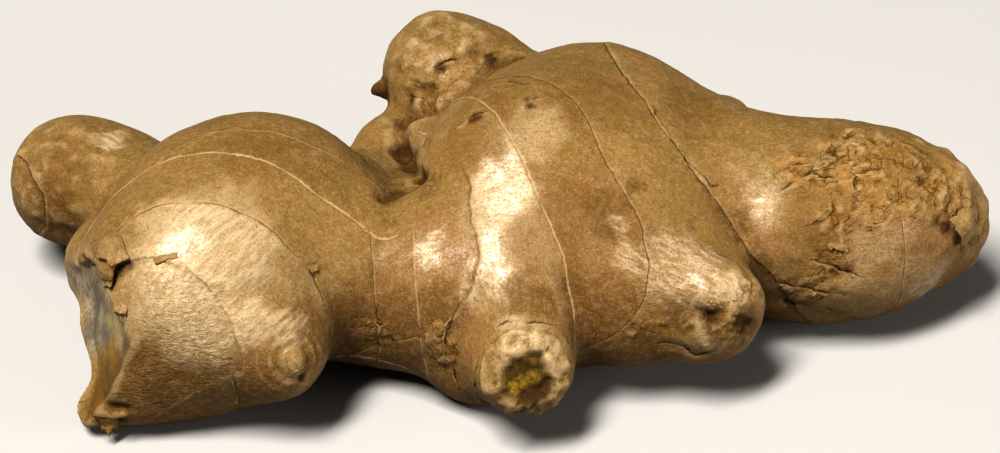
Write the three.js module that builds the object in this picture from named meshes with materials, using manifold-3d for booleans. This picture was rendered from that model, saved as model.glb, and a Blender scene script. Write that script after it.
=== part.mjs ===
// A fresh ginger rhizome: one grown body of swollen limbs that run into each other, with a broken
// face at the left end and small flats where it rests. Millimetres, +Z up. The root lies on its side
// on z = 0 with its length along X, and the origin is under the middle of its outline.
import * as THREE from "three";
import { mergeVertices } from "three/addons/utils/BufferGeometryUtils.js";
import Module from "manifold-3d";

const wasm = await Module();
wasm.setup();

// Driving dimensions.
const SOFTNESS = 1.6; // how gently one limb runs into the next
const CELL = 2.7; // spacing of the grid that the skin is drawn on
const BEADS_PER_STATION = 8; // how finely a limb's line is followed between its stations
const SKIN_STEPS = 4; // times that each skin point is pulled onto the surface
const MARGIN = 4; // clear space round the limbs, for the grid
const CUTTER_SIDES = 48; // how round the two cutters are

// The root is broken from its parent on a round scar at the left end and pressed flat underneath.
const BREAK = { point: [-60, -28, 11.5], outward: [-1, -0.45, 0.47], radius: 13, depth: 20 };
const FLOOR = { point: [0, 0, 0], outward: [0, 0, -1], radius: 120, depth: 20 };

// Each limb is a line of stations, given as the centre's x, y and z and the radius there.
const LIMBS = {
  left_lobe: [
    [-29.5, -11, 18, 15.5],
    [-34.5, -8, 19, 18],
    [-39, -11.5, 18.8, 19.2],
    [-43.5, -20.5, 17.3, 18.4],
  ],
  left_front_bud: [
    [-35.5, -25.5, 15.5, 11.5],
    [-32.5, -31, 14, 8.6],
    [-31, -34, 13.4, 6],
  ],
  left_heel: [
    [-47.5, -20.5, 11.4, 14.5],
    [-52, -30.5, 8, 7.5],
    [-58, -33, 4.3, 4],
  ],
  left_bump: [
    [-55, -13, 16, 7.5],
    [-58.5, -11, 15.5, 6.8],
  ],
  back_left_knob: [
    [-52, 0.5, 17, 8],
    [-59.5, 9, 16, 10],
    [-66.5, 13.5, 15, 10.8],
  ],
  waist: [
    [-29, -13, 17, 13],
    [-16.5, -12.5, 13.3, 13.5],
    [-8, -14.5, 14.6, 13.5],
  ],
  small_knob: [
    [-26, 2, 15, 10],
    [-19.5, 10, 14, 8],
    [-17, 20.5, 16, 6],
  ],
  small_bud: [
    [8, 15.5, 20, 13],
    [-1, 14.5, 20, 10.5],
    [-6.5, 14, 20, 8],
  ],
  top_knob: [
    [6, 21.5, 22, 8],
    [-2.5, 30, 24, 9.5],
    [-8.3, 30.5, 25.5, 10],
  ],
  centre: [
    [16, 12.5, 20.5, 17.8],
    [12, 1.5, 21.5, 18],
    [10, -10.5, 20, 14],
  ],
  centre_left: [
    [-5, -17, 14.5, 13],
    [-1.5, -22.5, 10, 10.8],
  ],
  left_shoulder: [
    [10.5, 1.5, 19, 15.5],
    [1, -0.5, 19.5, 13.5],
    [-2, -5.5, 19.5, 12],
  ],
  centre_right: [
    [18, 2, 20.5, 16.5],
    [20, -8, 19.5, 14],
    [18.5, -18.5, 15.5, 11.5],
  ],
  front_finger: [
    [4, -2.5, 25, 15.5],
    [3.5, -11, 20.5, 14],
    [3.5, -20.5, 17, 11.6],
    [3.5, -27.5, 14.7, 9.2],
    [4.5, -33.4, 12.5, 7.9],
  ],
  front_belly: [
    [3, -13.5, 13, 12.5],
    [10, -12.5, 13, 13.5],
  ],
  back_belly: [
    [9, 8.5, 13, 12.5],
    [15, 10.5, 13, 13.5],
  ],
  right_finger: [
    [19.5, -17, 18, 11.5],
    [27, -18, 15.5, 11],
    [31.2, -21.5, 15, 9.6],
  ],
  back_bump: [
    [31.5, 16, 19.5, 9],
    [37, 23.5, 18, 6.3],
  ],
  right_saddle: [
    [23, 8.5, 19.5, 15.5],
    [34.5, 3.5, 17.5, 15],
    [46, 0.5, 15.8, 14.8],
  ],
  right_lobe: [
    [46, 0.5, 15.8, 14.8],
    [55.5, 0.5, 15.5, 15.6],
    [62, 3, 14.8, 13.3],
    [66.5, 4, 13.3, 10.8],
  ],
};

// A limb's line as closely spaced beads { centre, radius } on a smooth curve through its stations.
function threadBeads(stations) {
  const line = new THREE.CatmullRomCurve3(stations.map(([x, y, z]) => new THREE.Vector3(x, y, z)));
  const girth = new THREE.SplineCurve(stations.map((station, i) => new THREE.Vector2(i, station[3])));
  const count = (stations.length - 1) * BEADS_PER_STATION;
  return Array.from({ length: count + 1 }, (_, i) => ({
    centre: line.getPoint(i / count),
    radius: girth.getPoint(i / count).y,
  }));
}

// Distance from a point to a limb's skin, below zero inside. Between beads the skin is a cone.
function limbDistance(point, beads) {
  let nearest = Infinity;
  const along = new THREE.Vector3();
  const away = new THREE.Vector3();
  for (let i = 1; i < beads.length; i++) {
    const from = beads[i - 1];
    const to = beads[i];
    along.subVectors(to.centre, from.centre);
    away.subVectors(point, from.centre);
    const share = THREE.MathUtils.clamp(away.dot(along) / along.lengthSq(), 0, 1);
    const radius = THREE.MathUtils.lerp(from.radius, to.radius, share);
    nearest = Math.min(nearest, away.addScaledVector(along, -share).length() - radius);
  }
  return nearest;
}

const limbs = Object.values(LIMBS).map(threadBeads);

// Distance to the whole root's skin: the limbs' own distances, melted together.
function rootDistance(point) {
  const distances = limbs.map((beads) => limbDistance(point, beads));
  const nearest = Math.min(...distances);
  const shares = distances.map((distance) => Math.exp((nearest - distance) / SOFTNESS));
  return nearest - SOFTNESS * Math.log(shares.reduce((sum, share) => sum + share, 0));
}

// The steepest direction of a distance, scaled by its slope.
function slope(distance, point) {
  const step = 0.05;
  const around = ["x", "y", "z"].map((axis) => {
    const ahead = point.clone();
    const behind = point.clone();
    ahead[axis] += step;
    behind[axis] -= step;
    return (distance(ahead) - distance(behind)) / (2 * step);
  });
  return new THREE.Vector3(...around);
}

// Draws the surface where a distance is zero: one point in each grid cell that the surface
// crosses, and one four-sided patch round each grid edge that it crosses.
function drawSkin(distance, box, cell) {
  const counts = box.getSize(new THREE.Vector3()).divideScalar(cell).ceil().addScalar(1).toArray();
  const strides = [1, counts[0], counts[0] * counts[1]];
  const place = (i, j, k) => new THREE.Vector3(i, j, k).multiplyScalar(cell).add(box.min);
  const values = new Float32Array(counts[0] * counts[1] * counts[2]);
  const eachCorner = (visit) => {
    for (let k = 0, at = 0; k < counts[2]; k++)
      for (let j = 0; j < counts[1]; j++) for (let i = 0; i < counts[0]; i++, at++) visit(at, [i, j, k]);
  };
  eachCorner((at, corner) => (values[at] = distance(place(...corner))));

  // Where the surface crosses the edge that leaves a corner along an axis, or null.
  const crossing = (at, corner, axis) => {
    const ahead = values[at + strides[axis]];
    if (values[at] < 0 === ahead < 0) return null;
    const shift = corner.map((n, a) => (a === axis ? n + values[at] / (values[at] - ahead) : n));
    return place(...shift);
  };
  const CELL_EDGES = [0, 1, 2].flatMap((axis) => {
    const [u, v] = [0, 1, 2].filter((a) => a !== axis);
    return [[0, 0], [1, 0], [0, 1], [1, 1]].map(([s, t]) => {
      const start = [0, 0, 0];
      start[u] = s;
      start[v] = t;
      return { axis, start };
    });
  });

  const points = [];
  const pointOfCell = new Map();
  eachCorner((at, corner) => {
    if (corner.some((n, a) => n === counts[a] - 1)) return;
    const found = CELL_EDGES.map(({ axis, start }) => {
      const shifted = corner.map((n, a) => n + start[a]);
      return crossing(at + start.reduce((sum, n, a) => sum + n * strides[a], 0), shifted, axis);
    }).filter(Boolean);
    if (!found.length) return;
    const point = found.reduce((sum, p) => sum.add(p), new THREE.Vector3()).divideScalar(found.length);
    for (let n = 0; n < SKIN_STEPS; n++) {
      const up = slope(distance, point);
      point.addScaledVector(up, -distance(point) / up.lengthSq());
    }
    pointOfCell.set(at, points.push(point) - 1);
  });

  const faces = [];
  eachCorner((at, corner) => {
    for (const axis of [0, 1, 2]) {
      if (corner[axis] === counts[axis] - 1 || !crossing(at, corner, axis)) continue;
      const [u, v] = [strides[(axis + 1) % 3], strides[(axis + 2) % 3]];
      const ring = [at, at - u, at - u - v, at - v].map((cellAt) => pointOfCell.get(cellAt));
      if (values[at] >= 0) ring.reverse();
      const [a, b, c, d] = ring;
      const splitAcross = points[a].distanceTo(points[c]) < points[b].distanceTo(points[d]);
      faces.push(...(splitAcross ? [a, b, c, a, c, d] : [b, c, d, b, d, a]));
    }
  });
  return new THREE.BufferGeometry().setFromPoints(points).setIndex(faces);
}

// An indexed geometry as a manifold-3d solid, and back.
function solidOf(geometry) {
  const vertProperties = new Float32Array(geometry.getAttribute("position").array);
  return new wasm.Manifold(
    new wasm.Mesh({ numProp: 3, vertProperties, triVerts: new Uint32Array(geometry.index.array) }),
  );
}

function geometryOf(solid) {
  const { vertProperties, triVerts } = solid.getMesh();
  return new THREE.BufferGeometry()
    .setAttribute("position", new THREE.BufferAttribute(vertProperties, 3))
    .setIndex(new THREE.BufferAttribute(triVerts, 1));
}

// A round cutter whose flat end lies on a plane and whose body is on the plane's outward side.
function cutter({ point, outward, radius, depth }) {
  const turn = new THREE.Quaternion().setFromUnitVectors(
    new THREE.Vector3(0, 1, 0),
    new THREE.Vector3(...outward).normalize(),
  );
  const drum = new THREE.CylinderGeometry(radius, radius, depth, CUTTER_SIDES).translate(0, depth / 2, 0);
  drum.deleteAttribute("normal").deleteAttribute("uv");
  return solidOf(mergeVertices(drum.applyQuaternion(turn).translate(...point)));
}

// The root's rough body, before it is broken off and laid down.
const reach = new THREE.Box3();
for (const { centre, radius } of limbs.flat()) reach.expandByPoint(centre.clone().subScalar(radius));
for (const { centre, radius } of limbs.flat()) reach.expandByPoint(centre.clone().addScalar(radius));
const whole = solidOf(drawSkin(rootDistance, reach.expandByScalar(MARGIN), CELL));

const broken = whole.subtract(cutter(BREAK));
const rested = broken.subtract(cutter(FLOOR));

const geometry = geometryOf(rested);
geometry.computeBoundingBox();
const middle = geometry.boundingBox.getCenter(new THREE.Vector3());
geometry.translate(-middle.x, -middle.y, 0);
geometry.computeVertexNormals();

const skin = new THREE.MeshStandardMaterial({ color: 0xa67c45, roughness: 0.45, metalness: 0 });
const rhizome = new THREE.Mesh(geometry, skin);
rhizome.name = "rhizome";

const ginger = new THREE.Group();
ginger.add(rhizome);

export default ginger;
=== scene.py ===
import math

import bmesh
import bpy
import numpy as np
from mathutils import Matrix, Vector, noise
from mathutils.bvhtree import BVHTree


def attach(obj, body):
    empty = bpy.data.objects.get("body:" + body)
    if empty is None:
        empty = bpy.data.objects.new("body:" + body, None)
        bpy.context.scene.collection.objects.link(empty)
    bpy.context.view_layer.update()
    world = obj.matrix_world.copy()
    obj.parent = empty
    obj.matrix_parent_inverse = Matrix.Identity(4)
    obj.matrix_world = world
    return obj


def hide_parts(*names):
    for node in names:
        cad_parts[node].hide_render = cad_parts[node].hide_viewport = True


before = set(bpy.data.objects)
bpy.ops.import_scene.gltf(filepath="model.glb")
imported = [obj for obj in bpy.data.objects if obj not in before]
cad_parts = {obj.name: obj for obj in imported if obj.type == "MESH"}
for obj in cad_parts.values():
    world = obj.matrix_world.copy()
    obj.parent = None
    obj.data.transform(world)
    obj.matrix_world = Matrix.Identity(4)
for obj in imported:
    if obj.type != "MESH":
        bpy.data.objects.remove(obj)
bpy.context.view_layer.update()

# ---------------------------------------------------------------------------------------------
# Camera: a long lens in front of the root and 32 degrees above it. A place on the skin is given by
# how far across and down it is seen in this camera's view, which is 1000 wide and 453 high.
MM = 0.001
VIEW_WIDTH, VIEW_HEIGHT = 1000, 453
LENS_MM, SENSOR_MM = 100, 36
ELEVATION = math.radians(32)
AIM = Vector((0.96, -4.65, 18)) * MM
DISTANCE = 427 * MM
CLOSEST_SEEN = 10 * MM

scene = bpy.context.scene
camera = bpy.data.objects.new("camera", bpy.data.cameras.new("camera"))
camera.data.lens = LENS_MM
camera.data.sensor_width = SENSOR_MM
camera.data.clip_start = CLOSEST_SEEN
toward_camera = Vector((0, -math.cos(ELEVATION), math.sin(ELEVATION)))
camera.location = AIM + toward_camera * DISTANCE
camera.rotation_euler = (math.pi / 2 - ELEVATION, 0, 0)
scene.collection.objects.link(camera)
scene.camera = camera


def sight_line(across, down):
    """The direction in which the camera sees a place that lies across and down in its view."""
    steps_per_unit = VIEW_WIDTH * LENS_MM / SENSOR_MM
    right = Vector((1, 0, 0))
    up = toward_camera.cross(right)
    tilt = right * (across - VIEW_WIDTH / 2) + up * (VIEW_HEIGHT / 2 - down)
    return (tilt / steps_per_unit - toward_camera).normalized()


# ---------------------------------------------------------------------------------------------
# Ginger root: one grown body of swollen joints under a thin dry skin. The body comes from the
# frame's solid, is given a fine even mesh, and then grows its rings, creases, cracks and scars.
SKIN_CELL = 0.59 * MM
MERGE_GAP = 0.001 * MM
QUAD_ANGLE = 0.7
ROUNDING_LEVELS = 2
SETTLE_TURNS = 4

root = bpy.data.objects.new("ginger_root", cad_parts["rhizome"].data.copy())
scene.collection.objects.link(root)
form = bmesh.new()
form.from_mesh(root.data)
bmesh.ops.remove_doubles(form, verts=form.verts, dist=MERGE_GAP)
bmesh.ops.join_triangles(
    form, faces=form.faces, angle_face_threshold=QUAD_ANGLE, angle_shape_threshold=QUAD_ANGLE
)
form.to_mesh(root.data)
form.free()

rounding = root.modifiers.new("rounding", "SUBSURF")
rounding.levels = ROUNDING_LEVELS
remesh = root.modifiers.new("even mesh", "REMESH")
remesh.mode = "VOXEL"
remesh.voxel_size = SKIN_CELL
settle = root.modifiers.new("settle", "SMOOTH")
settle.iterations = SETTLE_TURNS
fine = bpy.data.meshes.new_from_object(root.evaluated_get(bpy.context.evaluated_depsgraph_get()))
root.modifiers.clear()
root.data = fine

# Each point's place in millimetres and the way out of the skin there. Lengths on the skin are in
# millimetres from here on: 0.3 * lumps(7) is up to 0.3 mm of relief in lumps about 7 mm wide.
count = len(fine.vertices)
flat = np.zeros(count * 3)
fine.vertices.foreach_get("co", flat)
place = flat.reshape(-1, 3) / MM
fine.vertex_normals.foreach_get("vector", flat)
outward = flat.reshape(-1, 3).copy()
tree = BVHTree.FromPolygons([v.co for v in fine.vertices], [p.vertices for p in fine.polygons])
SIGHT_STEPS = range(-60, 90, 2)
SEED_SHIFT = 17.3
OCTAVE_FALL, OCTAVE_STEP = 0.9, 2.1
PATCH_CORE = 0.45
FAR_OFF = 99.0


def spot(across, down):
    """The point of the skin that the camera sees at a place in its view, or the nearest to it."""
    sight = sight_line(across, down)
    hit = tree.ray_cast(camera.location, sight)[0]
    if hit is None:
        steps = [camera.location + sight * (DISTANCE + step * MM) for step in SIGHT_STEPS]
        hit = min((tree.find_nearest(step) for step in steps), key=lambda found: found[3])[0]
    return np.array(hit) / MM


def lumps(size, octaves=1, seed=0, over=None):
    """Noise from -1 to 1 at each point, with lumps of a size."""
    where = (place if over is None else over) / size + seed * SEED_SHIFT
    if octaves == 1:
        return np.array([noise.noise(Vector(p)) for p in where])
    return np.array([noise.fractal(Vector(p), OCTAVE_FALL, OCTAVE_STEP, octaves) for p in where])


def fade(value, near, far):
    """1 up to near, 0 from far on, smooth between."""
    share = np.clip((far - value) / (far - near), 0, 1)
    return share * share * (3 - 2 * share)


def away_from(point):
    """How far each point of the skin is from a point."""
    return np.linalg.norm(place - point, axis=1)


def patches(places, roughness=1.0, seed=0):
    """A mask of ragged patches, each named and given by where it is seen and by its reach."""
    ragged = roughness * lumps(3, 2, seed=seed)
    mask = np.zeros(count)
    for across, down, reach in places.values():
        gap = away_from(spot(across, down)) + ragged
        mask = np.maximum(mask, fade(gap, PATCH_CORE * reach, reach))
    return mask


def path_gap(places):
    """How far each point is from a line through places seen on the skin, below 0 on its left."""
    line = [spot(*p) for p in places]
    gap = np.full(count, FAR_OFF)
    for start, end in zip(line, line[1:]):
        leg = end - start
        share = np.clip((place - start) @ leg / (leg @ leg), 0, 1)
        away = place - start - share[:, None] * leg
        side = np.sign(np.einsum("ij,ij->i", np.cross(leg, outward), away))
        distance = np.linalg.norm(away, axis=1)
        gap = np.where(distance < np.abs(gap), side * distance, gap)
    return gap


rise = np.zeros(count)
up = outward[:, 2].copy()

# Each limb grows along its own line, given by the ends of its core and its radius. The silk of the
# skin runs the same way: its coordinates are stretched along the line, and the silk dies out at the
# seam between two limbs.
GROWTH = {
    "left lobe": ((-30, -9, 18), (-48, -28, 12), 18),
    "heel": ((-46, -22, 12), (-60, -25, 8), 15),
    "body": ((-30, -14, 17), (64, 4, 15), 16),
    "top knob": ((0, 26, 23), (-9, 31, 26), 10),
    "back left knob": ((-52, 0.5, 17), (-67, 14, 15), 10),
    "front finger": ((3.5, -20, 17), (4.5, -34, 12.5), 9),
    "right finger": ((22, -17.5, 17), (32, -21, 15), 10),
}
SILK_STRETCH = 5
SILK_SHIFT = 3
SILK_SEAM = (0.2, 2.5)
silk = place.copy()
closest = np.full(count, FAR_OFF)
second = np.full(count, FAR_OFF)
for start, end, radius in GROWTH.values():
    leg = np.subtract(end, start)
    share = np.clip((place - start) @ leg / (leg @ leg), 0, 1)
    distance = np.linalg.norm(place - start - share[:, None] * leg, axis=1) - radius
    way = leg / np.linalg.norm(leg)
    along = (place - start) @ way
    stretched = place - start - (1 - 1 / SILK_STRETCH) * along[:, None] * way
    silk = np.where((distance < closest)[:, None], stretched + radius * SILK_SHIFT, silk)
    second = np.where(distance < closest, closest, np.minimum(second, distance))
    closest = np.minimum(closest, distance)
silky_share = 1 - fade(second - closest, *SILK_SEAM)

# Growth rings: each is a loop round a limb in the plane of three places seen on it, with the step
# of the skin there in millimetres, its tint, from -1, a dark line, to 1, a cream one, and how much
# paler or darker, from -1 to 1, the skin is on its left and on its right.
RINGS = {
    "left lobe back": ((171, 144), (278, 134), (372, 180), 0.12, 0.7, 0.1, -0.3),
    "left lobe top": ((146, 172), (278, 169), (364, 231), 0.14, 0.8, 0.3, -0.2),
    "left lobe middle": ((159, 206), (254, 219), (314, 281), 0.1, -0.3, 0.5, 0),
    "left lobe front": ((140, 260), (205, 284), (232, 370), 0.14, -0.1, -0.1, 0.4),
    "waist": ((414, 190), (412, 245), (416, 309), 0.08, 0.2, -0.2, 0.3),
    "waist left": ((366, 205), (371, 250), (376, 310), 0.08, -0.3, 0.1, -0.2),
    "back left knob": ((25, 161), (40, 192), (44, 222), 0.15, -0.4, -0.4, 0.1),
    "centre left": ((468, 193), (477, 240), (455, 312), 0.08, -0.14, -0.05, 0.5),
    "centre front": ((512, 142), (547, 218), (574, 309), 0.12, 0.28, 0.6, -0.35),
    "centre right": ((592, 130), (627, 200), (648, 285), 0.1, -0.5, -0.4, 0.3),
    "saddle": ((625, 75), (685, 160), (738, 232), 0.24, -0.8, 0, 0.3),
    "right lobe": ((899, 205), (904, 250), (901, 292), 0.1, -0.4, -0.1, 0.2),
}
RING_LOOSENESS, RING_FADE = 1.08, 1.12
RING_TONE_WIDTH = 4
LEDGE_WIDTH, LEDGE_EDGE = 3, 0.25
GROOVE_WIDTH, GROOVE_SHARE = 1.5, 0.6
NO_LINE = 9.0
# The rings die out in the gaps behind the waist and under the top knob.
RING_ENDS = {"behind the waist": (405, 195, 13), "under the top knob": (392, 132, 11)}
ring_end = patches(RING_ENDS, 0.5, seed=42)
wander = 0.3 * lumps(7) + 0.14 * lumps(2, seed=1)
broken = np.clip(0.75 + 1.3 * lumps(3, 2, seed=40), 0.15, 1)
ring_gap = np.full(count, NO_LINE)
ring_tint = np.zeros(count)
ring_tone = np.zeros(count)
ring_side = {}
for name, (first, middle, last, step, tint, left_tone, right_tone) in RINGS.items():
    # The hub is the centre of the circle through the three places, and turn is its axis.
    a, b, c = spot(*first), spot(*middle), spot(*last)
    turn = np.cross(b - a, c - a)
    across = turn * np.sign(turn[0])
    hub = np.cross(turn, b - a) * np.dot(c - a, c - a) + np.cross(c - a, turn) * np.dot(b - a, b - a)
    hub = a + hub / (2 * np.dot(turn, turn))
    along = (place - hub) @ (across / np.linalg.norm(across)) + wander
    ring_side[name] = along
    reach = np.linalg.norm(a - hub) * RING_LOOSENESS
    here = fade(away_from(hub), reach, RING_FADE * reach) * (1 - ring_end)
    groove = -GROOVE_SHARE * np.exp(along / GROOVE_WIDTH)
    ledge = np.where(along > 0, np.exp(-along / LEDGE_WIDTH), groove)
    rise += step * here * (0.4 + 0.6 * broken) * ledge * np.clip(np.abs(along) / LEDGE_EDGE, 0, 1)
    nearer = (np.abs(along) < np.abs(ring_gap)) & (here > 0.05)
    ring_gap = np.where(nearer, along, ring_gap)
    ring_tint = np.where(nearer, tint * broken * here, ring_tint)
    side_tone = np.where(along > 0, right_tone, left_tone)
    ring_tone += here * side_tone * np.exp(-np.abs(along) / RING_TONE_WIDTH)

# Creases: soft valleys beside the fingers and in their ends, each with its half width and depth.
# A depth below 0 is a fold that stands out.
CREASES = {
    "left of the front finger": (((470, 300), (456, 335), (446, 375)), 3, 0.9),
    "right of the front finger": (((572, 290), (584, 345), (590, 380)), 3, 0.9),
    "over the right finger": (((650, 245), (700, 232), (745, 258), (768, 300)), 3.5, 0.9),
    "under the top knob": (((404, 120), (435, 108), (470, 86), (490, 66), (516, 56)), 1.5, 1.2),
    "beside the small bud": (((398, 146), (408, 161), (418, 177)), 1.3, 1.8),
    "top of the small bud": (((404, 122), (401, 134), (399, 148)), 1.3, 1.0),
    "under the small bud": (((418, 180), (400, 190), (384, 197)), 1.6, 0.8),
    "small bud fold": (((404, 163), (415, 150), (428, 143)), 0.9, 0.4),
    "over the front bud": (((235, 300), (262, 290), (300, 305)), 3, 0.35),
    "behind the bud scale": (((90, 262), (100, 275), (113, 283), (128, 268)), 1.2, 0.5),
    "right finger hollow": (((703, 313), (713, 318), (722, 317)), 1.1, 0.9),
    "right finger dent": (((683, 311), (690, 314), (697, 314)), 1.0, 0.4),
    "right finger side": (((730, 327), (739, 322), (750, 326)), 1.1, 0.8),
    "right finger fold": (((697, 321), (701, 333), (708, 348)), 0.7, -0.55),
    "right finger rim": (((716, 270), (721, 290), (724, 302)), 0.6, -0.25),
    "right finger line": (((664, 345), (684, 349), (698, 356), (714, 354)), 0.8, 0.3),
    "rolled lip": (((84, 410), (100, 412), (112, 416), (123, 413)), 0.6, -0.7),
    "under the rolled lip": (((95, 420), (108, 422), (120, 421)), 0.8, 0.9),
    "over the rolled lip": (((96, 400), (110, 406), (125, 409)), 0.8, 0.8),
    "knob fold": (((398, 70), (412, 84), (434, 93)), 0.9, 0.35),
    "knob fold right": (((446, 70), (462, 58), (484, 50)), 0.9, 0.3),
    "scar's outer side": (((79, 312), (78, 335), (81, 360)), 4.5, 1.4),
    "right lobe hollow": (((815, 252), (830, 262), (846, 272)), 2.2, 0.6),
    "right lobe fold": (((824, 313), (862, 322), (888, 313), (920, 293)), 1.5, 0.5),
}
for places, width, depth in CREASES.values():
    rise -= depth * np.exp(-((path_gap(places) / width) ** 2))

# Cracks: thin dark splits in the skin, some with one edge curled up.
CRACKS = {
    "long": ((785, 188), (800, 179), (812, 171), (818, 158)),
    "upper": ((797, 163), (816, 160), (838, 161), (852, 165)),
    "lower": ((812, 172), (826, 177), (845, 178), (862, 172), (877, 170)),
    "star down": ((856, 155), (860, 165), (853, 175), (856, 190)),
    "fork": ((833, 200), (834, 211), (824, 219), (812, 224)),
    "elbow": ((816, 262), (836, 268), (846, 275), (857, 276)),
    "belly": ((780, 285), (800, 288), (821, 292), (838, 294)),
    "under": ((828, 311), (845, 317), (866, 321), (890, 311), (916, 294)),
    "front finger left": ((455, 310), (447, 328), (441, 348)),
    "right finger end": ((663, 344), (684, 348), (697, 357), (712, 355)),
    "front finger below": ((449, 372), (458, 390), (476, 408)),
    "waist low": ((377, 312), (378, 325), (385, 328), (381, 345)),
    "top ridge": ((499, 83), (510, 81), (522, 84), (546, 85)),
    "top mark": ((461, 124), (470, 117), (482, 112)),
    "small mark": ((526, 98), (531, 100), (529, 107)),
    "knob pit": ((436, 67), (446, 61), (455, 60)),
    "knob base": ((401, 95), (420, 99), (435, 110)),
    "knob ridge": ((455, 84), (470, 78), (483, 70)),
    "left shoulder": ((150, 262), (162, 260), (174, 254)),
    "tear": ((304, 262), (311, 269), (319, 261)),
    "tear tail": ((310, 270), (316, 285)),
    "saddle crack": ((686, 159), (702, 174), (712, 186), (720, 187)),
    "saddle top": ((655, 112), (672, 136), (684, 152)),
    "right finger top": ((721, 250), (737, 256), (745, 264)),
    "front finger cap": ((484, 340), (505, 321), (529, 320), (551, 325)),
    "front finger side": ((568, 341), (576, 357), (573, 378)),
    "front finger rim": ((478, 362), (474, 385), (482, 403)),
    "heel": ((232, 376), (237, 390), (238, 404)),
    "left bump": ((97, 246), (99, 252), (97, 257)),
}
CRACK_DEPTH, CRACK_HALF_WIDTH = 0.16, 0.4
CURL_LIFT, CURL_WIDTH = 0.22, 0.9
crack_gap = np.full(count, NO_LINE)
for places in CRACKS.values():
    gap = path_gap(places)
    crack_gap = np.where(np.abs(gap) < np.abs(crack_gap), gap, crack_gap)
crack_near = fade(np.abs(crack_gap), 0.8, 1.5) * np.clip(0.5 + 1.7 * lumps(2.2, seed=26), 0.05, 1)
crack_gap += 0.45 * lumps(1.8, 2, seed=3)
rise -= CRACK_DEPTH * crack_near * np.exp(-((crack_gap / CRACK_HALF_WIDTH) ** 2))
curled = np.where(crack_gap > 0, np.exp(-crack_gap / CURL_WIDTH), 0)
rise += CURL_LIFT * crack_near * curled * np.clip(crack_gap / CRACK_HALF_WIDTH, 0, 1)

# Wrinkled ends: the top knob, the finger ends and the tip of the right lobe, shrunken as they dried.
WRINKLED = {
    "top knob": (440, 65, 13),
    "left knob end": (30, 190, 7),
    "front finger end": (525, 365, 8),
    "right finger end": (722, 318, 9),
    "right finger rim": (750, 285, 6),
    "right tip": (968, 235, 7),
    "small bud": (420, 150, 4),
    "front bud": (294, 361, 6),
}
# Corky patches: old rough skin that has broken into small tilted plates.
CORKY = {
    "left of the star": (800, 170, 5),
    "star": (850, 165, 9),
    "right of the star": (885, 172, 9),
    "right slope": (915, 180, 9),
    "right edge": (942, 192, 7),
    "crown": (860, 145, 6),
    "crown right": (900, 155, 7),
    "fork": (838, 218, 5),
    "under the star": (870, 200, 7),
    "elbow": (836, 262, 4),
    "belly": (805, 292, 5),
    "right tip": (970, 235, 5),
    "right finger end": (725, 318, 5),
    "right finger root": (648, 322, 3),
    "right finger rim": (752, 288, 3),
    "waist": (440, 345, 4),
    "waist left": (378, 335, 3),
    "knob base": (432, 100, 4),
}
corky = patches(CORKY, 1.6, seed=4)

# The collar of crumpled skin round the scar at the front finger's end.
FINGER_END = spot(526, 378)
finger_end = away_from(FINGER_END) + 0.9 * lumps(2.5, 2, seed=8)
crumple = fade(finger_end, 6.6, 7.6) * (1 - fade(finger_end, 2.2, 3.2))

# Small tilted plates with grooves between them, over all the rough skin.
wrinkled = patches(WRINKLED, 1.0, seed=15)
rough_skin = np.maximum(np.maximum(corky, crumple), wrinkled)
PLATE, PLATE_SEAM, PLATE_LEAN = 2.0, 0.5, 2
TILT_SEED = 5
plate_rise = np.zeros(count)
plate_edge = np.ones(count)
bent = place + 0.5 * np.stack([lumps(1.5, seed=s) for s in (11, 12, 13)], axis=1)
# The tilts of the plates are drawn from this seed, so that they are the same each time.
noise.seed_set(TILT_SEED)
for index in np.nonzero(rough_skin > 0.02)[0]:
    distances, seeds = noise.voronoi(Vector(bent[index] / PLATE))
    lean = noise.noise_vector(seeds[0] * 5.1) * PLATE_LEAN
    plate_edge[index] = min((distances[1] - distances[0]) * PLATE / PLATE_SEAM, 1)
    plate_rise[index] = noise.noise(seeds[0] * 3.7) + lean.dot(Vector(bent[index] / PLATE) - seeds[0])
plates = 0.24 * plate_rise - 0.07 * (1 - plate_edge)
rise += corky * (plates + 0.2 * lumps(5, 2, seed=27) + 0.16 * lumps(1.2, seed=14))
ridges = 0.28 * np.abs(lumps(3.4, seed=34)) + 0.18 * np.abs(lumps(1.5, 2, seed=43))
rise += corky * (ridges - 0.1)

# The folds of the wrinkled skin.
folds = 1.6 * np.abs(lumps(3.6, seed=16)) + 0.8 * np.abs(lumps(1.9, seed=28))
rise += wrinkled * (0.17 * folds - 0.1 + 0.13 * plate_rise + 0.06 * lumps(1.3, 2, seed=17))

# Knobby ends: low bumps a few millimetres wide.
KNOBBY = {
    "top knob": (440, 55, 14),
    "left knob": (60, 175, 16),
    "right tip": (955, 185, 15),
    "crown": (850, 135, 8),
}
KNOB_LIFT, KNOB_WIDTH = 0.7, 4.5
knobby = patches(KNOBBY, 0.5, seed=29)
rise += knobby * KNOB_LIFT * lumps(KNOB_WIDTH, 2, seed=30)

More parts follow.
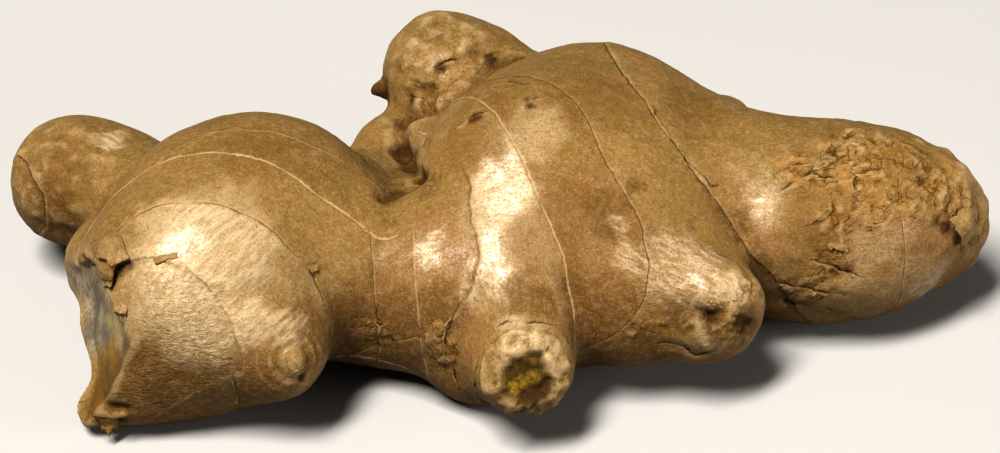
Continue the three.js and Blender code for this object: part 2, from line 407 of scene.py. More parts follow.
# The break at the left end: a round dry face with a curled edge of skin round it.
BREAK_POINT = np.array([-60, -27.6, 11.5])
BREAK_OUTWARD = np.array([-1, -0.45, 0.47]) / np.linalg.norm([-1, -0.45, 0.47])
break_gap = np.abs((place - BREAK_POINT) @ BREAK_OUTWARD)
facing = outward @ BREAK_OUTWARD
at_break = fade(away_from(BREAK_POINT), 14, 17)
scar = at_break * fade(break_gap, 0.5, 1.2) * fade(1 - facing, 0.12, 0.3)
SCAR_DEPTH, CURL_HEIGHT = 0.8, 0.5
sunken = fade(1 - facing, 0.1, 0.25) * at_break
sunken = sunken * fade(break_gap, 0.6, 1.4) * fade(away_from(BREAK_POINT), 9, 13)
rise += scar * (0.3 * lumps(3, 3, seed=7) - 0.3) - SCAR_DEPTH * sunken
SCAR_SIDE = {"top": (83, 302, 5.5), "middle": (84, 330, 6.5), "low": (88, 356, 5.5)}
scar = np.maximum(scar, patches(SCAR_SIDE, 0.5, seed=44))
curl = at_break * fade(break_gap, 0.8, 2.4) * (1 - fade(1 - facing, 0.1, 0.35))
rise += CURL_HEIGHT * curl * (1 + lumps(3, seed=18))

# The front finger's end: the collar stands proud and is folded, and the scar in it is sunken.
COLLAR_LIFT, FINGER_SCAR_DEPTH = 0.35, 1.4
rise += COLLAR_LIFT * fade(finger_end, 6.6, 7.4) - FINGER_SCAR_DEPTH * fade(finger_end, 3.0, 4.1)
FINGER_AXIS = np.array([0.07, -0.95, -0.3]) / np.linalg.norm([0.07, -0.95, -0.3])
COLLAR_GIRTH, COLLAR_STRETCH = 5, 0.4
spoke = place - FINGER_END
spoke -= (spoke @ FINGER_AXIS)[:, None] * FINGER_AXIS
girth = np.linalg.norm(spoke, axis=1)
round_the_end = spoke / np.maximum(girth, 0.1)[:, None] * COLLAR_GIRTH
round_the_end += FINGER_AXIS * girth[:, None] * COLLAR_STRETCH
rise += crumple * (1.3 * np.abs(lumps(2.2, 2, over=round_the_end, seed=31)) + 0.2 * plate_rise - 0.25)
rise += crumple * 0.3 * np.abs(lumps(1.6, seed=41))
finger_scar = fade(finger_end, 3.2, 3.9)

# Small pits in the skin; the material paints them dark, a painted shade.
HOLES = {
    "right belly": (790, 305, 0.9),
    "right finger hollow": (710, 317, 0.8),
    "crevice": (409, 163, 1.5),
    "crevice top": (402, 152, 1.2),
    "crevice low": (415, 172, 1.3),
    "front bud left": (302, 377, 0.9),
    "front finger low": (516, 409, 0.8),
    "star": (856, 165, 0.6),
}
HOLE_DEPTH = 0.7
hole = patches(HOLES, 0.3, seed=19)
rise -= HOLE_DEPTH * hole

# Small buds and bumps that stand out of the skin, each with its reach and its lift.
BUDS = {
    "scale bud top": (112, 248, 2.8, 1.2),
    "scale bud low": (110, 263, 2.4, 0.9),
    "front bud": (294, 361, 2.4, 1.1),
    "knob nub": (381, 89, 2.0, 2.4),
    "right tip": (962, 225, 3.2, 0.7),
    "small knob": (386, 130, 7, 0.9),
    "right shoulder": (962, 188, 9, 1.4),
    "right end": (984, 225, 6, 0.7),
    "end bump top": (948, 155, 3, 0.5),
    "end bump high": (972, 181, 2.6, 0.5),
    "end bump": (985, 205, 2.4, 0.6),
    "end bump low": (976, 266, 3, 0.6),
    "end bump bottom": (948, 290, 3.4, 0.5),
}
BUD_CORE = 0.15
for across, down, reach, lift in BUDS.values():
    gap = away_from(spot(across, down)) + 0.3 * lumps(2, seed=35)
    rise += lift * fade(gap, BUD_CORE * reach, reach)
# Fine rings in the skin round the front bud, 3.6 radians to the millimetre.
RIPPLE_LIFT, RIPPLE_TURN = 0.09, 3.6
FRONT_BUD = spot(*BUDS["front bud"][:2])
bud_gap = away_from(FRONT_BUD) + 0.4 * lumps(2.5, seed=36)
ripple = RIPPLE_LIFT * fade(bud_gap, 4.5, 6.5) * np.cos(bud_gap * RIPPLE_TURN)
rise += ripple * np.clip(bud_gap / 2, 0, 1) * (0.4 + broken)

# Slow swellings and fine creases.
rise += 0.28 * lumps(9, 2) + 0.07 * lumps(2.2, 2, seed=2) + 0.05 * lumps(1, over=silk, seed=20)

place += outward * rise[:, None]
place[:, 2] = np.maximum(place[:, 2], 0)
fine.vertices.foreach_set("co", (place * MM).ravel())
fine.update()
for polygon in fine.polygons:
    polygon.use_smooth = True
tree = BVHTree.FromPolygons([v.co for v in fine.vertices], [p.vertices for p in fine.polygons])

# How far each point lies below the mean of the skin round it: fine hollows, then broad ones.
FINE_TURNS, BROAD_TURNS = 3, 43
FINE_HOLLOW, BROAD_HOLLOW = 0.15, 0.7
ends = np.zeros(len(fine.edges) * 2, int)
fine.edges.foreach_get("vertices", ends)
ends = ends.reshape(-1, 2)
neighbours = np.bincount(ends.ravel(), minlength=count)
mean = place.copy()
hollows = {}
for turn in range(1, BROAD_TURNS + 1):
    total = np.zeros_like(mean)
    for one, other in ((0, 1), (1, 0)):
        for axis in range(3):
            across_edges = mean[ends[:, other], axis]
            total[:, axis] += np.bincount(ends[:, one], weights=across_edges, minlength=count)
    mean = total / neighbours[:, None]
    if turn in (FINE_TURNS, BROAD_TURNS):
        hollows[turn] = np.einsum("ij,ij->i", mean - place, outward)

# What the material reads at each point of the skin.
LAYERS = {
    "ring_gap": ring_gap,
    "ring_tint": ring_tint,
    "crack_gap": crack_gap,
    "crack_near": crack_near,
    "corky": corky,
    "wrinkled": wrinkled,
    "scar": scar,
    "finger_scar": finger_scar,
    "hole": hole,
    "hollow": np.clip(hollows[FINE_TURNS] / FINE_HOLLOW, -1, 1),
    "ring_tone": np.clip(ring_tone, -1, 1),
    "valley": np.clip(hollows[BROAD_TURNS] / BROAD_HOLLOW + 0.25, -1, 1),
    "up": up,
    "silky_share": silky_share,
}
# Ragged patches of polish with a painted highlight, of brown and painted shade, of freckles, of crepe,
# of pale skin and painted light, of yellow, of dim skin, of stains with painted shade in crevices, of
# marks with painted shade in gaps, of grime with painted shade in gaps and low down, and where the break
# is tanned: how ragged, then each patch's place and reach.
SKIN_PATCHES = {
    # Polish and painted highlight: shinier skin, which the colour also paints with pearl and cream as a
    # highlight.
    "polished": (2, {
        "left lobe right": (250, 322, 5), "right finger": (680, 266, 8),
        "right finger end": (730, 283, 3), "waist": (427, 247, 2.8), "front finger": (485, 287, 5),
        "right shoulder": (763, 213, 2.6), "centre right": (622, 222, 2.5),
        "centre right low": (632, 262, 3), "over the front bud": (290, 330, 4),
        "right lobe end": (925, 285, 5), "left knob": (105, 142, 3.5),
    }),
    # Brown and painted shade: patches behind the buds, under the waist and fingers, low on the lobes and
    # in the crevice, where shade falls.
    "shaded": (2, {
        "behind the front bud": (305, 335, 7), "waist left": (345, 325, 8), "waist low": (400, 330, 9),
        "waist right": (440, 310, 6), "left lobe low": (160, 392, 12), "front right": (600, 325, 9),
        "right finger left": (683, 312, 5), "right finger end": (745, 328, 5),
        "right belly": (785, 290, 4), "right finger low": (640, 345, 8),
        "front left": (425, 365, 9), "waist under": (375, 345, 8),
        "heel": (250, 380, 7), "left knob low": (60, 215, 6), "front finger side": (540, 300, 4),
        "front finger low": (480, 400, 6), "front finger right": (522, 292, 4),
        "crevice": (410, 160, 5), "rolled lip": (108, 404, 9), "under the bud": (330, 365, 6),
    }),
    "freckled": (3, {
        "waist": (440, 250, 9), "waist left": (395, 300, 9), "centre right": (600, 220, 12),
        "front right": (590, 300, 10), "right finger": (680, 275, 9), "centre": (550, 260, 8),
        "front finger": (500, 260, 6), "right lobe": (870, 240, 9), "right lobe end": (925, 260, 10),
        "front left": (470, 330, 6), "right belly": (760, 250, 8),
    }),
    "crepey": (2, {
        "left lobe low": (170, 345, 9), "left lobe front": (186, 308, 8), "heel": (150, 385, 8),
        "heel right": (205, 370, 8), "right finger": (682, 262, 8), "right finger left": (655, 275, 6),
    }),
    # Pale skin and painted light: patches made paler where light falls broadly on the lobes and fingers.
    "pale": (2, {
        "centre": (505, 210, 8), "centre top": (535, 130, 6), "centre low": (520, 245, 8),
        "right lobe": (870, 240, 7), "front finger": (523, 340, 5), "left lobe front": (185, 297, 12),
        "left lobe low": (205, 325, 10), "left lobe right": (240, 325, 6),
        "right lobe end": (925, 285, 8), "right lobe low": (860, 302, 8),
        "right lobe lower end": (905, 290, 8), "under the right finger": (690, 365, 7),
        "right finger tip": (745, 345, 6), "finger collar": (545, 365, 5),
        "right finger end": (730, 285, 3.5), "left lobe left": (170, 225, 8),
        "right shoulder": (770, 212, 4), "right finger low": (700, 350, 4),
        "left lobe top": (225, 225, 10),
    }),
    "yellow": (0.6, {
        "front bud": (293, 361, 2.6), "right tip": (970, 250, 2), "scar flakes": (113, 320, 3.4),
        "scar flakes low": (120, 335, 3.0), "finger end left": (514, 386, 0.9),
        "finger end": (522, 383, 1.1), "finger end right": (533, 378, 1.3),
    }),
    "dim": (3, {
        "centre left top": (475, 122, 9), "centre right": (575, 225, 10), "right lobe": (825, 222, 9),
        "centre low": (540, 245, 7), "ridge": (470, 145, 5), "centre top": (600, 95, 9),
        "saddle": (690, 105, 7), "left knob": (60, 180, 9), "left lobe top": (250, 150, 8),
        "rolled lip": (105, 410, 6), "right of the star": (915, 170, 6),
    }),
    "tanned": (1, {
        "scar low": (98, 376, 6), "scar foot": (90, 402, 8), "scar right": (110, 354, 3.5),
    }),
    # Stains, and painted shade in the crevices, hollows and gaps under the scales and the lip.
    "stained": (0.8, {
        "knob base": (490, 58, 1.8), "knob top": (441, 66, 0.9), "knob left": (413, 98, 1.4),
        "crevice top": (402, 152, 1.5), "crevice": (409, 163, 1.8), "crevice low": (415, 173, 1.6),
        "right finger hollow": (709, 316, 2.0), "right finger hollow right": (718, 321, 1.6),
        "right finger side": (742, 326, 2.6), "finger end top": (524, 366, 1.3),
        "finger end left": (506, 390, 1.5), "finger end low": (530, 398, 2.2),
        "finger end right": (543, 388, 1.4), "rolled lip": (108, 421, 2.0),
        "bud scale gap": (123, 266, 1.6), "bud scale gap low": (118, 275, 1.2),
        "right belly": (790, 304, 1.5),
    }),
    # Dark marks, and painted shadow in the slits and gaps of the scales.
    "marks": (0.7, {
        "top mark": (476, 117, 1.2), "top mark left": (471, 120, 0.9), "small mark left": (528, 99, 0.9),
        "small mark right": (533, 98, 0.8), "small mark low": (529, 105, 0.9),
        "small bud low": (427, 178, 1),
        "knob nub": (378, 91, 2.6), "tip scale gap": (945, 229, 1.3), "bud scale slit": (97, 252, 0.9),
        "bud scale seam": (95, 270, 1.0), "scar edge": (118, 350, 1.0), "elbow": (838, 270, 1.2),
    }),
    # Grime and painted shade: grey-brown grime on the skin, and painted shade in the gaps by the small
    # bud and under the heel.
    "grimy": (1.5, {
        "centre right": (623, 205, 2.5), "centre right low": (610, 228, 3),
        "centre right top": (635, 185, 2),
        "elbow": (812, 270, 4), "elbow left": (800, 262, 3), "right finger left": (683, 312, 4),
        "right finger hollow": (713, 318, 3.6), "right finger side": (741, 326, 4),
        "right finger end": (725, 330, 3), "finger end left": (503, 387, 2),
        "finger end low": (530, 400, 3), "finger end right": (545, 395, 2.5), "gap": (390, 185, 3),
        "gap right": (430, 185, 2.5), "heel": (160, 395, 4), "heel left": (110, 397, 5),
        "centre top": (600, 205, 4), "right belly": (795, 300, 4),
    }),
}
FIRST_SEED = 50
for seed, (name, (roughness, places)) in enumerate(SKIN_PATCHES.items(), FIRST_SEED):
    LAYERS[name] = patches(places, roughness, seed=seed)
# The polish of the centre and of the left lobe, and the highlight painted there, stop at their rings.
CENTRE_POLISH_AND_HIGHLIGHT = {"top": (500, 190, 7), "left": (482, 240, 5), "low": (478, 282, 4)}
LOBE_POLISH_AND_HIGHLIGHT = {"top": (218, 240, 12), "middle": (195, 285, 12), "low": (198, 325, 9)}
POLISH_EDGE = 0.4
centre_polish_and_highlight = 0.8 * patches(CENTRE_POLISH_AND_HIGHLIGHT, 1.5, seed=70)
centre_polish_and_highlight *= np.clip(ring_side["centre left"] / POLISH_EDGE, 0, 1)
centre_polish_and_highlight *= np.clip(-ring_side["centre front"] / POLISH_EDGE, 0, 1)
lobe_polish_and_highlight = patches(LOBE_POLISH_AND_HIGHLIGHT, 2, seed=71)
lobe_polish_and_highlight *= np.clip(-ring_side["left lobe middle"] / POLISH_EDGE, 0, 1)
LAYERS["polished"] = np.maximum(LAYERS["polished"], np.maximum(centre_polish_and_highlight, lobe_polish_and_highlight))
for name, values in LAYERS.items():
    fine.attributes.new(name, "FLOAT", "POINT").data.foreach_set("value", values)
fine.attributes.new("silk", "FLOAT_VECTOR", "POINT").data.foreach_set("vector", silk.ravel())

# The skin's material: dull, with a rough dry coat that gives it a soft sheen. Its lengths are in
# millimetres too.
skin = bpy.data.materials.new("ginger_skin")
skin.use_nodes = True
shader = skin.node_tree.nodes["Principled BSDF"]
shader.inputs["Specular IOR Level"].default_value = 0.1
shader.inputs["Specular Tint"].default_value = (1, 0.72, 0.36, 1)
shader.inputs["Coat Roughness"].default_value = 0.44
shader.inputs["Coat IOR"].default_value = 1.7


def add(kind, inputs=None, **settings):
    """A node with its settings made, and its inputs filled with values or linked to sockets."""
    made = skin.node_tree.nodes.new(kind)
    for name, value in settings.items():
        setattr(made, name, value)
    for name, value in (inputs or {}).items():
        if isinstance(value, bpy.types.NodeSocket):
            skin.node_tree.links.new(value, made.inputs[name])
        else:
            made.inputs[name].default_value = value
    return made


def read(name):
    """One of the skin's layers."""
    return add("ShaderNodeAttribute", attribute_name=name).outputs["Fac"]


def sums(operation, a, b=0.0):
    """A sum, a difference, the larger of two values or the like."""
    return add("ShaderNodeMath", {0: a, 1: b}, operation=operation).outputs[0]


def times(*values):
    """All the values multiplied together."""
    product = values[0]
    for value in values[1:]:
        product = sums("MULTIPLY", product, value)
    return product


def ramp(value, low, high, to_low=0.0, to_high=1.0):
    """A smooth change from to_low to to_high as the value goes from low to high."""
    inputs = {"Value": value, "From Min": low, "From Max": high, "To Min": to_low, "To Max": to_high}
    return add("ShaderNodeMapRange", inputs, interpolation_type="SMOOTHSTEP").outputs["Result"]


def grain(size, detail=2.0, shift=0.0, over=None, twist=0.0):
    """Noise from 0 to 1 in the skin's own space, with grains of a size."""
    moved = add("ShaderNodeMapping", {"Vector": over or millimetres, "Location": (shift, 0, 0)})
    inputs = {"Vector": moved.outputs[0], "Scale": 1 / size, "Detail": detail, "Distortion": twist}
    return add("ShaderNodeTexNoise", inputs).outputs["Fac"]


def blend(share, a, b):
    """Colour a where the share is 0, going over to colour b where it is 1."""
    mixed = add("ShaderNodeMix", data_type="RGBA")
    for index, value in ((0, share), (6, a), (7, b)):
        if isinstance(value, bpy.types.NodeSocket):
            skin.node_tree.links.new(value, mixed.inputs[index])
        else:
            mixed.inputs[index].default_value = value
    return mixed.outputs[2]


own = add("ShaderNodeTexCoord").outputs["Object"]
millimetres = add("ShaderNodeVectorMath", {0: own, "Scale": 1 / MM}, operation="SCALE").outputs[0]
silk_way = add("ShaderNodeAttribute", attribute_name="silk").outputs["Vector"]

GOLD = (0.102, 0.0635, 0.0160, 1)
OLIVE = (0.074, 0.0480, 0.0110, 1)
PINK = (0.112, 0.0600, 0.0215, 1)
RUST = (0.125, 0.0680, 0.0165, 1)
BROWN = (0.050, 0.0235, 0.0035, 1)
DARK = (0.016, 0.0070, 0.0012, 1)
CREAM = (0.218, 0.168, 0.0980, 1)
HIGHLIGHT_PEARL = (0.275, 0.232, 0.1620, 1)
GREY = (0.122, 0.1060, 0.0790, 1)
SLATE = (0.038, 0.0345, 0.0275, 1)
FLESH = (0.130, 0.0820, 0.0065, 1)
STRAW = (0.108, 0.0840, 0.0360, 1)
MOSS = (0.030, 0.0180, 0.0040, 1)
MAHOGANY = (0.024, 0.0085, 0.0012, 1)
SPECK = (0.052, 0.0215, 0.0040, 1)

tone = grain(13, 3)
patch = grain(4, 3, shift=31)
fleck = grain(0.24, 3, shift=3)
sheen = grain(0.5, 3, shift=63)
streak = grain(0.4, 3, over=silk_way, shift=9)
ring = sums("ADD", read("ring_gap"), times(sums("SUBTRACT", grain(0.8, 2), 0.5), 0.35))
tint = read("ring_tint")
crack = sums("ADD", read("crack_gap"), times(sums("SUBTRACT", grain(0.6, 2, shift=7), 0.5), 0.5))
near = read("crack_near")
up_way = read("up")
corky_way = read("corky")
freckled = read("freckled")

# The skin's colour: golden, olive and darker on top (partly its own tone, partly painted shade), pinkish
# where freckled, and brown below and in the valleys as painted shade.
colour = blend(ramp(sums("ADD", up_way, times(tone, 0.5)), 0.85, 1.3), GOLD, OLIVE)
colour = blend(sums("MAXIMUM", times(ramp(patch, 0.4, 0.6), 0.4), times(freckled, 0.75)), colour, PINK)
# Painted light: cream where the pale and light layer lies, partly paler skin.
colour = blend(times(read("pale"), 0.46), colour, CREAM)
colour = blend(ramp(read("ring_tone"), 0, 1, 0, 0.5), colour, CREAM)
colour = blend(ramp(read("ring_tone"), 0, -1, 0, 0.7), colour, BROWN)
colour = blend(times(corky_way, ramp(patch, 0.3, 0.55, 0.2, 0.8)), colour, RUST)
# Painted shade: brown in the broad valleys. Paler on broad swellings, partly the thinner skin's own
# colour and partly painted light.
colour = blend(ramp(read("valley"), 0.25, 1, 0, 0.7), colour, BROWN)
colour = blend(ramp(read("valley"), -0.1, -1, 0, 0.25), colour, CREAM)
# Painted shade: brown on the faces that look down.
colour = blend(ramp(up_way, 0.15, -0.6, 0, 0.75), colour, BROWN)
# Painted shade: brown where the brown and shade layer lies.
colour = blend(times(read("shaded"), 0.75), colour, BROWN)
colour = blend(ramp(tone, 0.5, 0.7, 0, 0.2), colour, BROWN)
colour = blend(ramp(grain(2.2, 6, shift=51, twist=0.4), 0.42, 0.75, 0, 0.3), colour, BROWN)
colour = blend(ramp(grain(1.1, 6, shift=53, twist=0.5), 0.42, 0.75, 0, 0.2), colour, CREAM)
colour = blend(ramp(streak, 0.5, 0.8, 0, 0.25), colour, BROWN)
colour = blend(ramp(grain(0.5, 5, shift=65, twist=0.3), 0.45, 0.72, 0, 0.42), colour, BROWN)
colour = blend(ramp(sheen, 0.5, 0.75, 0, 0.2), colour, CREAM)
colour = blend(times(read("dim"), 0.4), colour, BROWN)
brushed = grain(0.7, 3, over=silk_way, shift=71)
# Painted highlight: pearl and cream streaks on the polished skin.
colour = blend(times(ramp(brushed, 0.42, 0.62), read("polished"), 0.42), colour, HIGHLIGHT_PEARL)
colour = blend(times(ramp(sheen, 0.3, 0.65, 0.6, 1), read("polished"), 0.28), colour, CREAM)
colour = blend(times(ramp(fleck, 0.44, 0.7), ramp(freckled, 0, 1, 0.35, 0.55)), colour, SPECK)
colour = blend(ramp(grain(0.25, 2, shift=5), 0.5, 0.75, 0, 0.22), colour, CREAM)
# Grime, and painted shade in the gaps and under the heel.
colour = blend(times(read("grimy"), ramp(grain(0.8, 4, shift=41), 0.35, 0.65, 0.15, 0.6)), colour, MOSS)
# Painted shade: dark in the small hollows, less in the wrinkled skin.
hollow_shade = times(ramp(read("hollow"), 0.2, 1, 0, 0.6), ramp(read("wrinkled"), 0, 1, 1, 0.4))
colour = blend(hollow_shade, colour, DARK)
# Painted light: cream on the small ridges.
colour = blend(ramp(read("hollow"), -0.2, -1, 0, 0.25), colour, CREAM)
# Dark marks, and painted shadow in the scales' slits and gaps.
colour = blend(times(read("marks"), 0.9), colour, MAHOGANY)
# Dark stains, and painted shade in crevices and gaps.
stain_and_crevice_shade = times(read("stained"), ramp(grain(1.0, 4, shift=67), 0.3, 0.55, 0.35, 0.95))
colour = blend(stain_and_crevice_shade, colour, DARK)

# Fine broken cracks between the small plates of the corky patches.
wobble = add("ShaderNodeTexNoise", {"Vector": millimetres, "Scale": 0.8, "Detail": 3.0}).outputs["Color"]
moved = add("ShaderNodeVectorMath", {0: wobble, "Scale": 1.5}, operation="SCALE").outputs[0]
moved = add("ShaderNodeVectorMath", {0: moved, 1: millimetres}, operation="ADD").outputs[0]
cells = add("ShaderNodeTexVoronoi", {"Vector": moved, "Scale": 0.55}, feature="DISTANCE_TO_EDGE")
crackle = ramp(cells.outputs["Distance"], 0.0, 0.08, 1, 0)
crackle = times(crackle, ramp(grain(2.6, 2, shift=61), 0.45, 0.6), corky_way)
colour = blend(times(crackle, 0.45), colour, BROWN)

# Growth rings, as a dark line or as a dark line with a cream one beside it, and the cracks. The rings'
# dark line is partly the scar's own colour and partly painted shadow beside the step.
shown = times(ramp(sums("ABSOLUTE", tint), 0, 0.12), ramp(corky_way, 0.2, 0.8, 1, 0.1))
dark_line = ramp(sums("ABSOLUTE", ring), 0.03, 0.14, 1, 0)
dark_line = times(dark_line, ramp(tint, 0.3, -0.6, 0.15, 0.8), shown)
cream_line = ramp(sums("ABSOLUTE", sums("SUBTRACT", ring, 0.16)), 0.02, 0.22, 1, 0)
cream_line = times(cream_line, ramp(tint, -0.6, 0.7, 0.08, 0.62), shown)
colour = blend(cream_line, colour, CREAM)
colour = blend(dark_line, colour, DARK)
colour = blend(times(near, ramp(sums("ABSOLUTE", crack), 0.02, 0.14, 0.85, 0)), colour, DARK)
crack_lip = ramp(sums("ABSOLUTE", sums("SUBTRACT", crack, 0.3)), 0.0, 0.25, 0.35, 0)
colour = blend(times(near, crack_lip), colour, CREAM)

# The break's dry grey face, and the yellowish flesh in the front finger's scar.
height_up = add("ShaderNodeSeparateXYZ", {"Vector": millimetres}).outputs["Z"]
upright = add("ShaderNodeMapping", {"Vector": millimetres, "Scale": (1, 1, 0.3)}).outputs[0]
dry = blend(ramp(grain(5, 3, shift=16), 0.4, 0.62, 0.3, 0.95), SLATE, GREY)
dry = blend(ramp(sums("ADD", height_up, times(patch, 6)), 20, 24), dry, CREAM)
dry = blend(times(read("tanned"), 0.9), dry, GOLD)
dry = blend(ramp(grain(0.4, 3, over=upright, shift=12), 0.42, 0.7, 0, 0.6), dry, BROWN)
# Painted shade on the break's face as well.
dry = blend(times(read("shaded"), 0.8), dry, BROWN)
colour = blend(read("scar"), colour, dry)
wet = blend(ramp(grain(2.2, 3, shift=14), 0.52, 0.66, 0, 0.6), MOSS, OLIVE)
wet = blend(ramp(grain(0.5, 2, shift=15), 0.5, 0.7, 0, 0.6), wet, DARK)
colour = blend(read("finger_scar"), colour, wet)
colour = blend(times(stain_and_crevice_shade, read("finger_scar")), colour, DARK)
flakes = blend(read("finger_scar"), STRAW, FLESH)
colour = blend(times(read("yellow"), ramp(grain(0.7, 4, shift=69), 0.4, 0.54, 0.3, 0.9)), colour, flakes)
# Painted shade: dark in the pits.
colour = blend(times(read("hole"), 0.9), colour, DARK)
skin.node_tree.links.new(colour, shader.inputs["Base Color"])

# How rough the skin is, and its thin coat, which shines where the skin is polished and is nearly gone
# where it is dirty, dull or broken and where shade is painted on it.
rough = ramp(sums("ADD", patch, times(fleck, 0.6)), 0.5, 1.1, 0.62, 0.78)
rough = sums("SUBTRACT", rough, times(read("polished"), 0.2))
skin.node_tree.links.new(rough, shader.inputs["Roughness"])
gloss = times(ramp(up_way, 0, 0.5), ramp(read("polished"), 0, 1, 0.21, 0.64))
gloss = times(gloss, ramp(fleck, 0.4, 0.75, 1, 0.25))
gloss = times(gloss, ramp(read("shaded"), 0, 1, 1, 0.15), ramp(read("grimy"), 0, 1, 1, 0.1))
gloss = times(gloss, ramp(read("dim"), 0, 1, 1, 0.3))
gloss = times(gloss, ramp(sums("ABSOLUTE", ring), 0.1, 0.3, 0.3, 1), ramp(streak, 0.3, 0.6, 0.45, 1))
gloss = times(gloss, ramp(sheen, 0.34, 0.6, 0.4, 1), ramp(read("ring_tone"), -0.5, 0, 0.3, 1))
gloss = times(gloss, ramp(corky_way, 0, 1, 1, 0.35), ramp(read("hollow"), 0, 0.8, 1, 0.1))
gloss = times(gloss, ramp(near, 0, 1, 1, 0.6), ramp(read("scar"), 0, 1, 1, 0.1))
gloss = times(gloss, ramp(sums("MAXIMUM", read("marks"), read("stained")), 0, 1, 1, 0.05))
gloss = times(gloss, ramp(read("finger_scar"), 0, 1, 1, 0.1), ramp(read("valley"), 0.3, 1, 1, 0.15))
skin.node_tree.links.new(gloss, shader.inputs["Coat Weight"])

# The finest relief: grain, silk, crepe wrinkles, and sharper edges for the rings and cracks.
height = times(grain(0.9, 4, twist=0.6), 0.09)
height = sums("ADD", height, times(streak, read("silky_share"), 0.08))
height = sums("ADD", height, times(brushed, read("polished"), read("silky_share"), 0.22))
height = sums("ADD", height, times(fleck, -0.03))
coarse = grain(1.0, 4, shift=17, twist=0.3)
rough_way = sums("MAXIMUM", corky_way, times(read("wrinkled"), 0.7))
height = sums("ADD", height, times(coarse, rough_way, 0.35))
drawn_out = {"Vector": millimetres, "Scale": (0.45, 0.65, 1), "Rotation": (0, 0.12, 0)}
wrinkle = grain(0.6, 4, over=add("ShaderNodeMapping", drawn_out).outputs[0], twist=1.2)
height = sums("ADD", height, times(wrinkle, read("crepey"), 0.36))
height = sums("SUBTRACT", height, times(crackle, 0.2))
ring_step = times(ramp(ring, -0.15, 0.1), ramp(sums("ABSOLUTE", tint), 0, 1, 0.0, 0.08))
height = sums("ADD", height, ring_step)
height = sums("ADD", height, times(near, ramp(sums("ABSOLUTE", crack), 0, 0.3, -0.3, 0)))
bump = add("ShaderNodeBump", {"Height": height, "Distance": MM, "Strength": 1.0})
skin.node_tree.links.new(bump.outputs[0], shader.inputs["Normal"])

root.data.materials.clear()
root.data.materials.append(skin)
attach(root, "root")
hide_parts("rhizome")

# ---------------------------------------------------------------------------------------------
# Dry scales: papery leaf bases and torn flaps of the same skin that stand off the root. Each is
# grown on along its first edge, where it dips under the surface, and its opposite edge is free.
SCALE_THICKNESS = 0.25
SCALE_STEPS = 14
SCALE_WRINKLES, SCALE_UP_WAY = 1, 0.4

# For each scale: its corners, as the places where they are seen, round from the held edge; the corners'
# lifts off the skin; the rise of the middle; how ragged the free edge is; how pale it is and how brown,
# set through the layers that also carry the skin's painted light and painted shade.
SCALES = {
    "bud_scale_left": (
        ((90, 265), (108, 235), (123, 259), (115, 287)), (-0.2, 0.2, 1.2, 0.9), 0.3, 0.02, 0.35, 0.1,
    ),
    "bud_scale_right": (
        ((103, 238), (119, 228), (131, 259), (115, 269)), (0.6, -0.3, 0.7, 1.7), 0.3, 0.02, 0.6, 0,
    ),
    "torn_tip": (
        ((95, 413), (114, 416), (121, 428), (108, 427)), (-0.4, -0.4, 0.8, 2.6), 0.6, 0.3, 0, 0.9,
    ),
    "scar_flake": (
        ((114, 298), (128, 303), (127, 314), (115, 311)), (-0.2, -0.2, 0.5, 0.6), 0.1, 0.15, 0.8, 0,
    ),
    "tip_scale": (
        ((966, 206), (983, 230), (956, 244), (944, 218)), (0.0, 0.0, 1.2, 1.5), 0.5, 0.05, 0.6, 0,
    ),
    "front_bud_scale": (
        ((284, 350), (300, 349), (303, 366), (290, 372)), (-0.2, -0.2, 1.0, 0.8), 0.4, 0.1, 0.6, 0,
    ),
    "waist_flake": (
        ((446, 318), (451, 334), (436, 336), (430, 321)), (-0.3, -0.3, 0.4, 0.5), 0.2, 0.2, 0.1, 0.3,
    ),
    "waist_flake_low": (
        ((449, 345), (452, 366), (441, 362), (440, 346)), (-0.3, -0.3, 0.4, 0.5), 0.2, 0.2, 0.1, 0.3,
    ),
    "waist_flake_left": (
        ((390, 324), (391, 344), (379, 343), (378, 325)), (-0.3, -0.3, 0.4, 0.5), 0.1, 0.2, 0.1, 0.3,
    ),
    "lobe_flake": (
        ((826, 236), (846, 238), (848, 252), (828, 249)), (-0.4, -0.4, 0.4, 0.3), 0.1, 0.3, 0.4, 0,
    ),
    "shoulder_flap": (
        ((150, 254), (176, 248), (178, 258), (156, 264)), (-0.3, -0.3, 0.2, 0.4), 0.1, 0.15, 0.4, 0,
    ),
    "tear_flap": (
        ((305, 262), (320, 262), (318, 270), (311, 273)), (-0.3, -0.3, 0.4, 0.6), 0.1, 0.1, 0.4, 0.2,
    ),
}
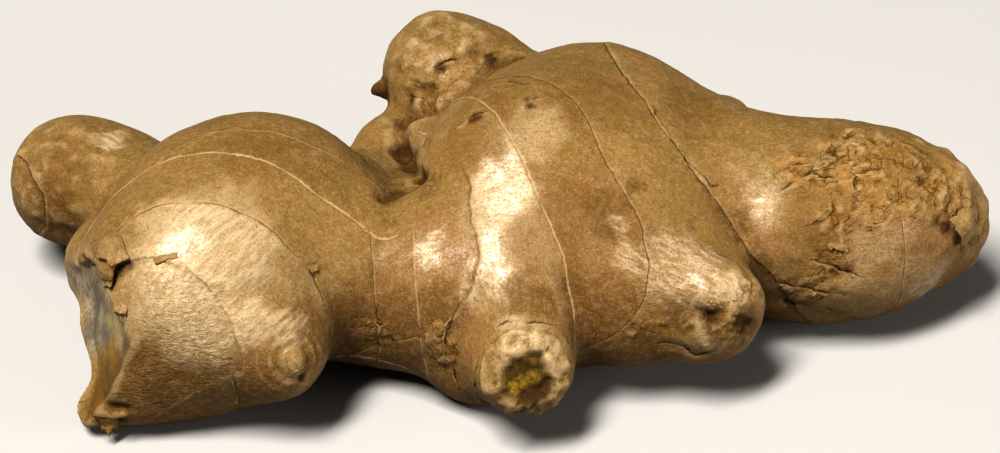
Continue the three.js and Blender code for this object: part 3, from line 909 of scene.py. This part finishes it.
for name, (seen, lifts, dome, ragged, pale, shade) in SCALES.items():
    seed = len(name)
    form = bmesh.new()
    bmesh.ops.create_grid(form, x_segments=SCALE_STEPS, y_segments=SCALE_STEPS, size=1)
    corners = np.array([spot(*place_seen) for place_seen in seen])
    off_root = np.cross(corners[2] - corners[0], corners[3] - corners[1])
    off_root *= np.sign(off_root @ np.array(toward_camera)) / np.linalg.norm(off_root)
    off_root += np.array(toward_camera)
    off_root /= np.linalg.norm(off_root)
    for vert in form.verts:
        along, out = (vert.co.x + 1) / 2, (vert.co.y + 1) / 2
        out *= 1 - ragged * (0.5 + noise.noise(Vector((along * 5, seed * 3.1, 0))))
        along += 0.06 * noise.noise(Vector((out * 4, seed * 1.7, 5)))
        shares = ((1 - along) * (1 - out), along * (1 - out), along * out, (1 - along) * out)
        on_skin = tree.find_nearest(Vector(np.array(shares) @ corners * MM))[0]
        lift = sum(share * each for share, each in zip(shares, lifts))
        lift += dome * math.sin(math.pi * min(max(along, 0), 1)) * math.sin(math.pi * out * 0.9)
        lift += 0.3 * out * noise.noise(Vector((along * 4, out * 3, seed)))
        at = np.array(on_skin) / MM + lift * off_root
        at[2] = max(at[2], SCALE_THICKNESS)
        vert.co = at * MM
    bmesh.ops.solidify(form, geom=form.faces[:], thickness=SCALE_THICKNESS * MM)
    bmesh.ops.recalc_face_normals(form, faces=form.faces[:])
    mesh = bpy.data.meshes.new(name)
    form.to_mesh(mesh)
    form.free()
    for polygon in mesh.polygons:
        polygon.use_smooth = True
    # The pale and brown shares go into the layers that carry painted light and painted shade.
    layers = {"pale": pale, "shaded": shade, "wrinkled": SCALE_WRINKLES, "up": SCALE_UP_WAY}
    for layer, value in layers.items():
        values = np.full(len(mesh.vertices), value)
        mesh.attributes.new(layer, "FLOAT", "POINT").data.foreach_set("value", values)
    scale = bpy.data.objects.new(name, mesh)
    scene.collection.objects.link(scale)
    scale.data.materials.append(skin)
    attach(scale, "root")

# ---------------------------------------------------------------------------------------------
# Floor: a plain pale studio floor of matt painted board. It lies at the height that the root rests
# on and is wide enough to fill the view.
FLOOR_HALF = 3
FLOOR_COLOUR = (0.19, 0.19, 0.19, 1)
FLOOR_ROUGHNESS = 0.8
floor = bpy.data.objects.new("floor", bpy.data.meshes.new("floor"))
form = bmesh.new()
bmesh.ops.create_grid(form, x_segments=1, y_segments=1, size=FLOOR_HALF)
form.to_mesh(floor.data)
form.free()
scene.collection.objects.link(floor)
board = bpy.data.materials.new("pale_floor")
board.use_nodes = True
board.node_tree.nodes["Principled BSDF"].inputs["Base Color"].default_value = FLOOR_COLOUR
board.node_tree.nodes["Principled BSDF"].inputs["Roughness"].default_value = FLOOR_ROUGHNESS
floor.data.materials.append(board)

# ---------------------------------------------------------------------------------------------
# Lights: two soft boxes in a dim warm room. A strong one hangs high in front and a little to the
# left, and a weak one stands low at the right. Both are turned to the root.
ROOM_COLOUR = (1, 0.94, 0.84, 1)
ROOM_STRENGTH = 0.11
VIEW_GAMMA = 0.8
# Each lamp's place, width and length in metres, its power in watts and its colour.
LIGHTS = {
    "key": ((-0.56, -0.75, 1.74), 0.4, 0.9, 200, (1, 0.95, 0.88)),
    "fill": ((0.7, -0.3, 0.12), 0.4, 0.4, 10, (1, 0.95, 0.88)),
}
for name, (spot_at, width, length, power, colour) in LIGHTS.items():
    lamp = bpy.data.objects.new(name, bpy.data.lights.new(name, "AREA"))
    lamp.data.energy = power
    lamp.data.shape = "RECTANGLE"
    lamp.data.size = width
    lamp.data.size_y = length
    lamp.data.color = colour
    lamp.location = spot_at
    lamp.rotation_euler = (AIM - lamp.location).to_track_quat("-Z", "Y").to_euler()
    scene.collection.objects.link(lamp)
room = bpy.data.worlds.new("room")
room.use_nodes = True
room.node_tree.nodes["Background"].inputs["Color"].default_value = ROOM_COLOUR
room.node_tree.nodes["Background"].inputs["Strength"].default_value = ROOM_STRENGTH
scene.world = room
scene.view_settings.view_transform = "Standard"
scene.view_settings.gamma = VIEW_GAMMA
